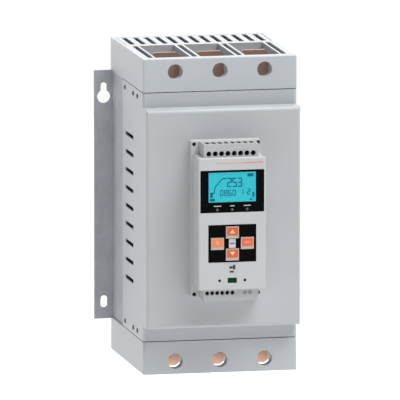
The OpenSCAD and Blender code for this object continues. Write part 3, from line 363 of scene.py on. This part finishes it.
lens_acrylic = polished_acrylic("polished_black_acrylic", "#040405", "#070809")
port_plastic = polished_acrylic("polished_green_acrylic", "#12331d", "#1d4529")
board_laminate = board_mask("glass_epoxy_laminate", "#1f4a2c", "#235231")
print("acrylic and laminate ready")

# %% [markdown]
# The screen is a back-lit liquid crystal cell. Its film glows cyan, a little unevenly, so part of its
# colour is emitted and part is reflected. A lamp behind a clear film would look the same and take
# longer to render.

# %% Screen film
FILM_CLOUD = {"Scale": per_metre(40.0), "Detail": 1.0}
FILM_GLOW = {"Emission Strength": 0.12, "Roughness": 0.25}


def lit_film(name, shade, light):
    """A film that glows in the colour it reflects."""
    material, tree, place = new_material(name)
    cloud = add(tree, "ShaderNodeTexNoise", values=FILM_CLOUD, links={"Vector": place})
    tone = add(tree, "ShaderNodeMix", COLOUR_MIX, tones(shade, light), {FACTOR: cloud.outputs["Fac"]})
    close(tree, FILM_GLOW,
          {"Base Color": tone.outputs[COLOUR_OUT], "Emission Color": tone.outputs[COLOUR_OUT]})
    return material


screen_film = lit_film("backlit_screen_film", "#0dabb7", "#1ab7c3")
print("made", screen_film.name)

# %% [markdown]
# Printing ink lies on top of its carrier as a thin matt skin, slightly uneven where the screen's mesh
# let it through. The segments of the display lie behind glass, so they hardly shine.

# %% Printing inks
INK_MESH = {"Scale": per_metre(0.6), "Detail": 2.0}
KEY_ROUGH, PRINT_ROUGH = 0.45, 0.5
INK_SHINE, SEGMENT_SHINE = 0.5, 0.1


def ink(name, shade, light, roughness, shine=INK_SHINE):
    """A printed ink in two close tones."""
    material, tree, place = new_material(name)
    mesh = add(tree, "ShaderNodeTexNoise", values=INK_MESH, links={"Vector": place})
    tone = add(tree, "ShaderNodeMix", COLOUR_MIX, tones(shade, light), {FACTOR: mesh.outputs["Fac"]})
    close(tree, {"Roughness": roughness, "Specular IOR Level": shine},
          {"Base Color": tone.outputs[COLOUR_OUT]})
    return material


orange_ink = ink("orange_key_ink", "#cc5a2c", "#d36436", KEY_ROUGH)
pale_orange_ink = ink("pale_orange_key_ink", "#e07f54", "#e6895e", KEY_ROUGH)
red_orange_ink = ink("red_orange_key_ink", "#dc6240", "#e26c4a", KEY_ROUGH)
peach_ink = ink("peach_key_ink", "#ffc49a", "#ffcfa8", KEY_ROUGH)
soft_peach_ink = ink("soft_peach_key_ink", "#e89a6e", "#eda478", KEY_ROUGH)
white_ink = ink("white_screen_ink", "#c8c6cc", "#d0ced4", PRINT_ROUGH)
blue_ink = ink("violet_blue_ink", "#6f6994", "#78729d", PRINT_ROUGH)
dark_ink = ink("dark_screen_ink", "#2a2a2e", "#333338", PRINT_ROUGH)
stripe_ink = ink("orange_stripe_ink", "#cda18b", "#d3a993", PRINT_ROUGH)
red_ink = ink("red_stripe_ink", "#dc8078", "#e08a82", PRINT_ROUGH)
grey_ink = ink("pale_grey_label_ink", "#b4b6b8", "#c0c2c4", PRINT_ROUGH)
segment_ink = ink("blue_segment", "#0c6686", "#116e90", PRINT_ROUGH, SEGMENT_SHINE)
mark_ink = ink("dark_blue_segment", "#0a607c", "#0e6886", PRINT_ROUGH, SEGMENT_SHINE)
print("inks ready")

# %% [markdown]
# Each CAD node now gets its finish. The table says which pieces share one, and a node that is missing
# from it stops the script, so none is left bare.

# %% Finishes for the CAD nodes
finishes = {
    painted_sheet: ["main_cover"],
    cover_plastic: [
        "upper_terminal_cover", "lower_terminal_cover", "upper_cable_wells", "lower_cable_wells",
        "upper_vent_grille", "lower_vent_grille",
    ],
    module_plastic: ["control_base", "control_front"],
    # The strips' darker grey is partly painted shade under the fascia.
    strip_plastic_with_shade: ["upper_terminal_strip", "lower_terminal_strip"],
    dark_plastic: [
        "fan_frame_left", "fan_frame_right", "fan_rotor_left", "fan_rotor_right", "thyristor_module_1",
        "thyristor_module_2", "thyristor_module_3", "bypass_relay_1", "bypass_relay_2", "bypass_relay_3",
        "current_sensor_1", "current_sensor_2", "current_sensor_3", "board_link", "key_switches",
    ],
    key_plastic: ["key_up", "key_down", "key_left", "key_right"],
    port_plastic: ["optical_port"],
    light_plastic: ["status_lights"],
    capacitor_sleeve: ["board_capacitors"],
    zinc_steel: ["chassis", "fan_plate"],
    copper: ["load_bar_1", "load_bar_2", "load_bar_3"],
    # The line bars' darker copper is partly painted shade for their wells.
    tarnished_and_shaded_copper: ["line_bar_1", "line_bar_2", "line_bar_3"],
    sink_aluminium: ["heat_sink"],
    screw_steel: ["side_screws", "fan_screws"],
    # The module screws wear the near-black steel as painted shade for the ear holes they sit in.
    dark_steel_and_painted_shade: ["module_screws", "upper_clamp_screws", "lower_clamp_screws"],
    bright_steel: [
        "pair_clamp_screws", "thyristor_screws", "bar_bolts", "board_standoffs", "board_screws",
    ],
    core_steel: ["supply_transformer"],
    lens_acrylic: ["display_lens", "keypad_frame"],
    board_laminate: ["power_board", "control_board"],
    screen_film: ["lcd_screen"],
}
finish_of = {name: material for material, names in finishes.items() for name in names}
for name, piece in nodes.items():
    piece.data.materials.clear()
    piece.data.materials.append(finish_of[name])
print("finishes set on", len(nodes), "nodes")

# %% [markdown]
# Printed fields and screen segments are thin plates that lie on the surface that carries them. A shape
# is a list of corner points in the module's millimetres, in counter-clockwise order. The plate's back
# sinks a hair into its carrier, so no gap shows. An image could show the same prints, but plates stay
# sharp at any size and travel with the piece they ride on.

# %% Thin plates on the front
PRINT_PROUD = 0.08
PRINT_SINK = 0.05
CORNER_STEPS = 5
CORNERS = ((-1, -1), (1, -1), (1, 1), (-1, 1))


def rectangle(x, z, w, h):
    """Corners of a rectangle, given its middle."""
    return [(x + sx * w / 2, z + sz * h / 2) for sx, sz in CORNERS]


def rounded(x, z, w, h, r):
    """Corners of a rectangle with round corners."""
    points = []
    for quarter, (sx, sz) in enumerate(((1, 1), (-1, 1), (-1, -1), (1, -1))):
        mid_x, mid_z = x + sx * (w / 2 - r), z + sz * (h / 2 - r)
        for k in range(CORNER_STEPS + 1):
            turn = math.pi / 2 * (quarter + k / CORNER_STEPS)
            points.append((mid_x + r * math.cos(turn), mid_z + r * math.sin(turn)))
    return points


def new_piece(name, verts, faces, material, body):
    """A mesh piece that rides on one of the frame's bodies."""
    mesh = bpy.data.meshes.new(name)
    mesh.from_pydata(verts, [], faces)
    mesh.validate()
    mesh.materials.append(material)
    piece = bpy.data.objects.new(name, mesh)
    bpy.context.scene.collection.objects.link(piece)
    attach(piece, body)


def plates(name, shapes, face_y, material, body):
    """One piece of thin closed plates in front of the plane y = face_y."""
    verts, faces = [], []
    for shape in shapes:
        n = len(shape)
        start = len(verts)
        for depth in (-PRINT_PROUD, PRINT_SINK):
            for x, z in shape:
                verts.append((MODULE_X + x * MM, face_y + depth * MM, MODULE_Z + z * MM))
        faces.append([start + i for i in range(n)])
        faces.append([start + n + i for i in reversed(range(n))])
        for i in range(n):
            j = (i + 1) % n
            faces.append([start + j, start + i, start + n + i, start + n + j])
    new_piece(name, verts, faces, material, body)


def local(node):
    """A node's box in the module's millimetres: x0, x1, z0, z1, and the plane of its front in metres."""
    low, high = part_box(node)
    x0, x1 = (low[0] - MODULE_X) / MM, (high[0] - MODULE_X) / MM
    z0, z1 = (low[2] - MODULE_Z) / MM, (high[2] - MODULE_Z) / MM
    return x0, x1, z0, z1, low[1]


print("plates stand", PRINT_PROUD, "mm proud")

# %% [markdown]
# The keys are pale caps with an orange field printed on each, and a peach sign on the field: arrows on
# the upper and lower keys, a lamp on the left key and a bar on the right one. They ride on the keys, so
# they travel with them. The field stays clear of the cap's rim, and more so of its foot, which is
# wider.

# %% Key prints
KEY_RIM = 1.3
KEY_FOOT = 3.3
FIELD_R = 0.6
ARROW_W, ARROW_H = 5.4, 3.6
BAR_W, BAR_H = 6.4, 1.5
LAMP_W, LAMP_H, LAMP_R = 3.4, 3.8, 1.2
KEY_INKS = {
    "key_up": (orange_ink, peach_ink),
    "key_down": (orange_ink, peach_ink),
    "key_left": (pale_orange_ink, soft_peach_ink),
    "key_right": (red_orange_ink, soft_peach_ink),
}
for name, (field_ink, sign_ink) in KEY_INKS.items():
    x0, x1, z0, z1, face = local(name)
    x, top, low = (x0 + x1) / 2, z1 - KEY_RIM, z0 + KEY_FOOT
    z = (top + low) / 2
    left_x, right_x = x - ARROW_W / 2, x + ARROW_W / 2
    foot_z, tip_z = z - ARROW_H / 2, z + ARROW_H / 2
    signs = {
        "key_up": [(left_x, foot_z), (right_x, foot_z), (x, tip_z)],
        "key_down": [(x, foot_z), (right_x, tip_z), (left_x, tip_z)],
        "key_left": rounded(x, z, LAMP_W, LAMP_H, LAMP_R),
        "key_right": rectangle(x, z, BAR_W, BAR_H),
    }
    field = rounded(x, z, x1 - x0 - 2 * KEY_RIM, top - low, FIELD_R)
    plates(name + "_field", [field], face, field_ink, name)
    plates(name + "_sign", [signs[name]], face - PRINT_PROUD * MM, sign_ink, name)
print("prints on", len(KEY_INKS), "keys")

# %% [markdown]
# The fascia carries a thin stripe under its top edge and a plain sign of a plug over the optical port.
# Short label dashes stand over the lights on the lens, and a strip of pale ink joins the upper and
# lower keys on the keypad. The two locating holes beside the port are closed by thin black rubber
# seals, a hair wider than the holes, so that they hold in them. A block of the plug sign is given by
# its middle, measured from SIGN_Z, and its width and height.

# %% Fascia prints
STRIPE_LEFT, STRIPE_TURN, STRIPE_RIGHT = -17.0, 13.0, 31.0
STRIPE_Z, STRIPE_H = 59.6, 1.0
LABEL_WIDTHS = (7.3, 4.7, 7.1)
LABEL_H, LABEL_UP = 0.9, 3.7
LINK_W, LINK_H = 6.8, 9.0
DASH_W, DASH_H = 5.2, 1.5
LINK_R = 0.5
SIGN_Z = -44.3
PLUG_HEAD = (-1.3, 0.0, 3.6, 2.2)
PLUG_BODY = (1.9, 0.2, 2.4, 4.6)
PLUG_LINE = (-0.6, -4.3, 4.2, 1.8)
SEAL_X, SEAL_D, SEAL_IN = 12.7, 3.06, 0.3

for name, x0, x1, stripe in (
    ("stripe_left", STRIPE_LEFT, STRIPE_TURN, stripe_ink),
    ("stripe_right", STRIPE_TURN, STRIPE_RIGHT, red_ink),
):
    plates(name, [rectangle((x0 + x1) / 2, STRIPE_Z, x1 - x0, STRIPE_H)], FASCIA_Y, stripe, "housing")

*_, lens_face = local("display_lens")
light_x0, light_x1, light_z0, light_z1, _ = local("status_lights")
light_z = (light_z0 + light_z1) / 2
light_reach = (light_x1 - light_x0 - (light_z1 - light_z0)) / 2
label_places = zip((-light_reach, 0.0, light_reach), LABEL_WIDTHS)
labels = [rectangle(x, light_z + LABEL_UP, w, LABEL_H) for x, w in label_places]
plates("light_labels", labels, lens_face, grey_ink, "housing")

_, _, pad_z0, pad_z1, pad_face = local("keypad_frame")
pad_z = (pad_z0 + pad_z1) / 2
plates("key_link", [rounded(0.0, pad_z, LINK_W, LINK_H, LINK_R)], pad_face, white_ink, "housing")
dash = rounded(0.0, pad_z, DASH_W, DASH_H, LINK_R)
plates("link_dash", [dash], pad_face - PRINT_PROUD * MM, blue_ink, "housing")

plug_sign = [rectangle(x, SIGN_Z + z, w, h) for x, z, w, h in (PLUG_HEAD, PLUG_BODY, PLUG_LINE)]
plates("plug_sign", plug_sign, FASCIA_Y, dark_ink, "housing")

_, _, port_z0, port_z1, _ = local("optical_port")
port_z = (port_z0 + port_z1) / 2
seals = [rounded(side * SEAL_X, port_z, SEAL_D, SEAL_D, SEAL_D / 2) for side in (-1, 1)]
plates("locating_seals", seals, FASCIA_Y + SEAL_IN * MM, seal_rubber, "housing")
print("fascia prints ready, keypad middle at z =", round(pad_z, 2), "mm")

# %% [markdown]
# A wire goes in through the end of a terminal strip, into a small steel cage that the clamp screw
# closes. The strips have their entries already, so only the cages are missing: near-black blocks a
# little inside the mouth of each entry, at the pitch of the screws. Their near-black steel is painted
# shade: it stands in for the darkness deep in the entries. Only their dark faces are seen, so plain
# blocks are enough.

# %% Wire cages as painted shade
CAGE_DOWN, CAGE_T = 0.8, 4.0
CAGE_W, CAGE_L, CAGE_OUT = 4.2, 12.0, 13.0
UPPER_N, UPPER_PITCH = 8, 6.35
LOWER_N, LOWER_PITCH, LOWER_FIRST, PAIR_X = 6, 5.08, -24.1, 16.1
BLOCK_FACES = ((3, 2, 1, 0), (4, 5, 6, 7), (0, 1, 5, 4), (1, 2, 6, 5), (2, 3, 7, 6), (3, 0, 4, 7))


def cages(name, places, mouth_z, inward):
    """Blocks inside the wire entries; inward is the direction into the strip, up or down."""
    verts, faces = [], []
    mid_y = base_low[1] - CAGE_OUT * MM
    for x in places:
        start = len(verts)
        for z in (mouth_z + inward * CAGE_DOWN * MM, mouth_z + inward * CAGE_T * MM):
            for sx, sy in CORNERS:
                verts.append((MODULE_X + (x + sx * CAGE_W / 2) * MM, mid_y + sy * CAGE_L / 2 * MM, z))
        faces += [[start + i for i in face[::inward]] for face in BLOCK_FACES]
    new_piece(name, verts, faces, dark_steel_and_painted_shade, "housing")


upper_places = [(k - (UPPER_N - 1) / 2) * UPPER_PITCH for k in range(UPPER_N)]
lower_places = [LOWER_FIRST + k * LOWER_PITCH for k in range(LOWER_N)]
lower_places += [PAIR_X - LOWER_PITCH / 2, PAIR_X + LOWER_PITCH / 2]
cages("upper_wire_cages_as_shade", upper_places, base_high[2], -1)
cages("lower_wire_cages_as_shade", lower_places, base_low[2], 1)
print("wire cages:", len(upper_places) + len(lower_places))

# %% [markdown]
# The screen shows a starting ramp beside two rows of digits, with plain marks in its corners. The
# digits are seven-segment figures, and a short table says which segments each one lights. As in a real
# cell, the segments are mitred where they meet, with a hair between them. Three are drawn from the
# figure's middle, and the others are these turned over. The ramp is one bent line, mitred in the same
# way. Places are measured from the middle of the module sideways and of the screen in height, and a
# mark is given by its middle, width and height.

# %% Screen segments
LIT = {"0": "abcdef", "1": "bc", "2": "abged", "3": "abgcd", "5": "afgcd", "6": "afgedc", "8": "abcdefg"}
SEGMENT_GAP = 0.1
ROWS = (
    {"figures": "253", "first_x": -4.6, "pitch": 5.2, "foot": 0.6, "w": 3.6, "h": 8.0, "stroke": 1.2},
    {"figures": "0860", "first_x": -12.0, "pitch": 4.2, "foot": -8.2, "w": 2.6, "h": 5.0, "stroke": 0.8},
    {"figures": "12", "first_x": 8.2, "pitch": 7.0, "foot": -7.6, "w": 2.6, "h": 5.0, "stroke": 0.8},
)
RAMP = ((-18.7, -6.7), (-17.0, 0.7), (-13.6, 4.3), (-10.6, 8.0), (-8.5, 8.8), (-5.4, 8.7))
RAMP_W = 1.0
MARKS = {
    "top right": (18.2, 11.6, 6.0, 3.0),
    "left bar": (-20.8, -7.5, 2.7, 5.2),
    "left foot": (-20.0, -12.4, 4.8, 2.5),
    "right bar": (21.2, -8.0, 1.8, 5.0),
    "right foot": (18.9, -12.6, 2.4, 1.6),
}


def turned(shape, sx, sz):
    """A shape turned over sideways or upside down, its corners still in counter-clockwise order."""
    flipped = [(sx * x, sz * z) for x, z in shape]
    return flipped if sx * sz > 0 else flipped[::-1]


def digit(figure, x, z, w, h, stroke):
    """Segments of one digit, with the lower left end of its centre lines at x, z."""
    # Half the stroke, the gap, and half the figure's width and height
    q, g, hw, hh = stroke / 2, SEGMENT_GAP, w / 2, h / 2
    top = [(q + g - hw, hh - q), (hw - q - g, hh - q), (hw + q - g, hh + q), (g - q - hw, hh + q)]
    left = [(-hw - q, g), (-hw, g), (q - hw, q + g), (q - hw, hh - q - g), (-hw - q, hh + q - g)]
    bar = [(g - hw, 0), (q + g - hw, -q), (hw - q - g, -q), (hw - g, 0), (hw - q - g, q), (q + g - hw, q)]
    bars = {
        "a": top, "b": turned(left, -1, 1), "c": turned(left, -1, -1), "d": turned(top, 1, -1),
        "e": turned(left, 1, -1), "f": left, "g": bar,
    }
    return [[(x + hw + px, z + hh + pz) for px, pz in bars[s]] for s in LIT[figure]]


def bent_line(points, width):
    """Outline of a line of even width through the points, mitred at its bends."""
    steps = [(Vector(b) - Vector(a)).normalized() for a, b in zip(points, points[1:])]
    below, above = [], []
    for point, before, after in zip(points, steps[:1] + steps, steps + steps[-1:]):
        along = (before + after).normalized()
        across = Vector((-along.y, along.x)) * width / 2 / along.dot(before)
        below.append(tuple(Vector(point) - across))
        above.append(tuple(Vector(point) + across))
    return below + above[::-1]


_, _, screen_z0, screen_z1, screen_face = local("lcd_screen")
screen_z = (screen_z0 + screen_z1) / 2
segments = []
for row in ROWS:
    for k, figure in enumerate(row["figures"]):
        x, z = row["first_x"] + row["pitch"] * k, screen_z + row["foot"]
        segments += digit(figure, x, z, row["w"], row["h"], row["stroke"])
segments.append([(x, screen_z + z) for x, z in bent_line(RAMP, RAMP_W)])
plates("screen_segments", segments, screen_face, segment_ink, "housing")
marks = [rectangle(x, screen_z + z, w, h) for x, z, w, h in MARKS.values()]
plates("screen_marks", marks, screen_face, mark_ink, "housing")
print("screen segments:", len(segments), "marks:", len(marks))

# %% [markdown]
# No moulded or folded edge is perfectly sharp. A weld joins the corners that the import left apart, and
# a narrow bevel then rounds each edge, so that it catches a line of light as the real one does. The
# widths are in millimetres. As modifiers, both leave the solids themselves untouched.

# %% Soft edges
EDGE_MM = {
    "main_cover": 0.4, "upper_terminal_cover": 0.25, "lower_terminal_cover": 0.25, "chassis": 0.08,
    "upper_vent_grille": 0.2, "lower_vent_grille": 0.2, "control_front": 0.35,
    "upper_terminal_strip": 0.4, "lower_terminal_strip": 0.4, "keypad_frame": 0.25, "display_lens": 0.25,
    "key_up": 0.7, "key_down": 0.7, "key_left": 0.7, "key_right": 0.7, "heat_sink": 0.2,
}
EDGE_ANGLE = math.radians(35)
EDGE_STEPS = 2
WELD_REACH = 0.002 * MM
for name, width in EDGE_MM.items():
    weld = nodes[name].modifiers.new("weld", "WELD")
    weld.merge_threshold = WELD_REACH
    edge = nodes[name].modifiers.new("edge", "BEVEL")
    edge.width = width * MM
    edge.segments = EDGE_STEPS
    edge.limit_method = "ANGLE"
    edge.angle_limit = EDGE_ANGLE
    edge.harden_normals = True
print("soft edges on", len(EDGE_MM), "nodes")

# %% [markdown]
# The studio is a white room: a floor of matt white paper and a soft high light from the front right,
# like a large cloth-covered window. A panel behind the left shoulder keeps the side from going dark
# without filling the shadows on the front, and a wide one behind whitens the upper faces, which are
# seen at a glancing angle. A small low panel at the front left lifts the flange and the lower shadows.
# The tone curve is left plain.

# %% Studio
FLOOR_REACH = 12.0
FLOOR_Z = -0.25
FIBRE = {"Scale": per_metre(3.0)}
PAPER_LOOK = {"Roughness": 0.9, "Specular IOR Level": 0.0}
SUN_STRENGTH, SUN_SPREAD = 3.7, math.radians(45.0)
SUN_AZIMUTH, SUN_ELEVATION = math.radians(41.0), math.radians(66.0)
PANELS = {
    "left_panel": {"watts": 4.2, "side": 1.2, "place": Vector((-1.4, 1.0, 0.5))},
    "back_panel": {"watts": 60.0, "side": 3.0, "place": Vector((0.3, 2.6, 1.3))},
    "low_panel": {"watts": 0.45, "side": 0.6, "place": Vector((-0.35, -0.88, 0.08))},
}
ROOM_STRENGTH = 0.17

bpy.context.scene.view_settings.view_transform = "Standard"
floor_mesh = bpy.data.meshes.new("floor")
floor_corners = [(sx * FLOOR_REACH, sy * FLOOR_REACH, FLOOR_Z) for sx, sy in CORNERS]
floor_mesh.from_pydata(floor_corners, [], [(0, 1, 2, 3)])
floor_paper, paper_tree, paper_place = new_material("matt_white_paper")
fibre = add(paper_tree, "ShaderNodeTexNoise", values=FIBRE, links={"Vector": paper_place})
paper_tone = add(paper_tree, "ShaderNodeMix", COLOUR_MIX, tones("#eaeaeb", "#eeeeee"),
                 {FACTOR: fibre.outputs["Fac"]})
close(paper_tree, PAPER_LOOK, {"Base Color": paper_tone.outputs[COLOUR_OUT]})
floor_mesh.materials.append(floor_paper)
floor = bpy.data.objects.new("floor", floor_mesh)
bpy.context.scene.collection.objects.link(floor)


def hang(data, shines_from, place):
    """Put a light in the scene, turned so that it shines from a direction."""
    light = bpy.data.objects.new(data.name, data)
    light.location = place
    light.rotation_euler = shines_from.to_track_quat("Z", "Y").to_euler()
    bpy.context.scene.collection.objects.link(light)


sun_data = bpy.data.lights.new("soft_window", "SUN")
sun_data.energy = SUN_STRENGTH
sun_data.angle = SUN_SPREAD
hang(sun_data, towards(SUN_AZIMUTH, SUN_ELEVATION), Vector())
for name, panel in PANELS.items():
    panel_data = bpy.data.lights.new(name, "AREA")
    panel_data.energy = panel["watts"]
    panel_data.size = panel["side"]
    hang(panel_data, panel["place"] - aim, panel["place"])

room = bpy.data.worlds.new("white_room")
room.use_nodes = True
room_light = room.node_tree.nodes["Background"]
room_light.inputs["Color"].default_value = linear("#ffffff")
room_light.inputs["Strength"].default_value = ROOM_STRENGTH
bpy.context.scene.world = room
print("studio with a window and", len(PANELS), "panels")
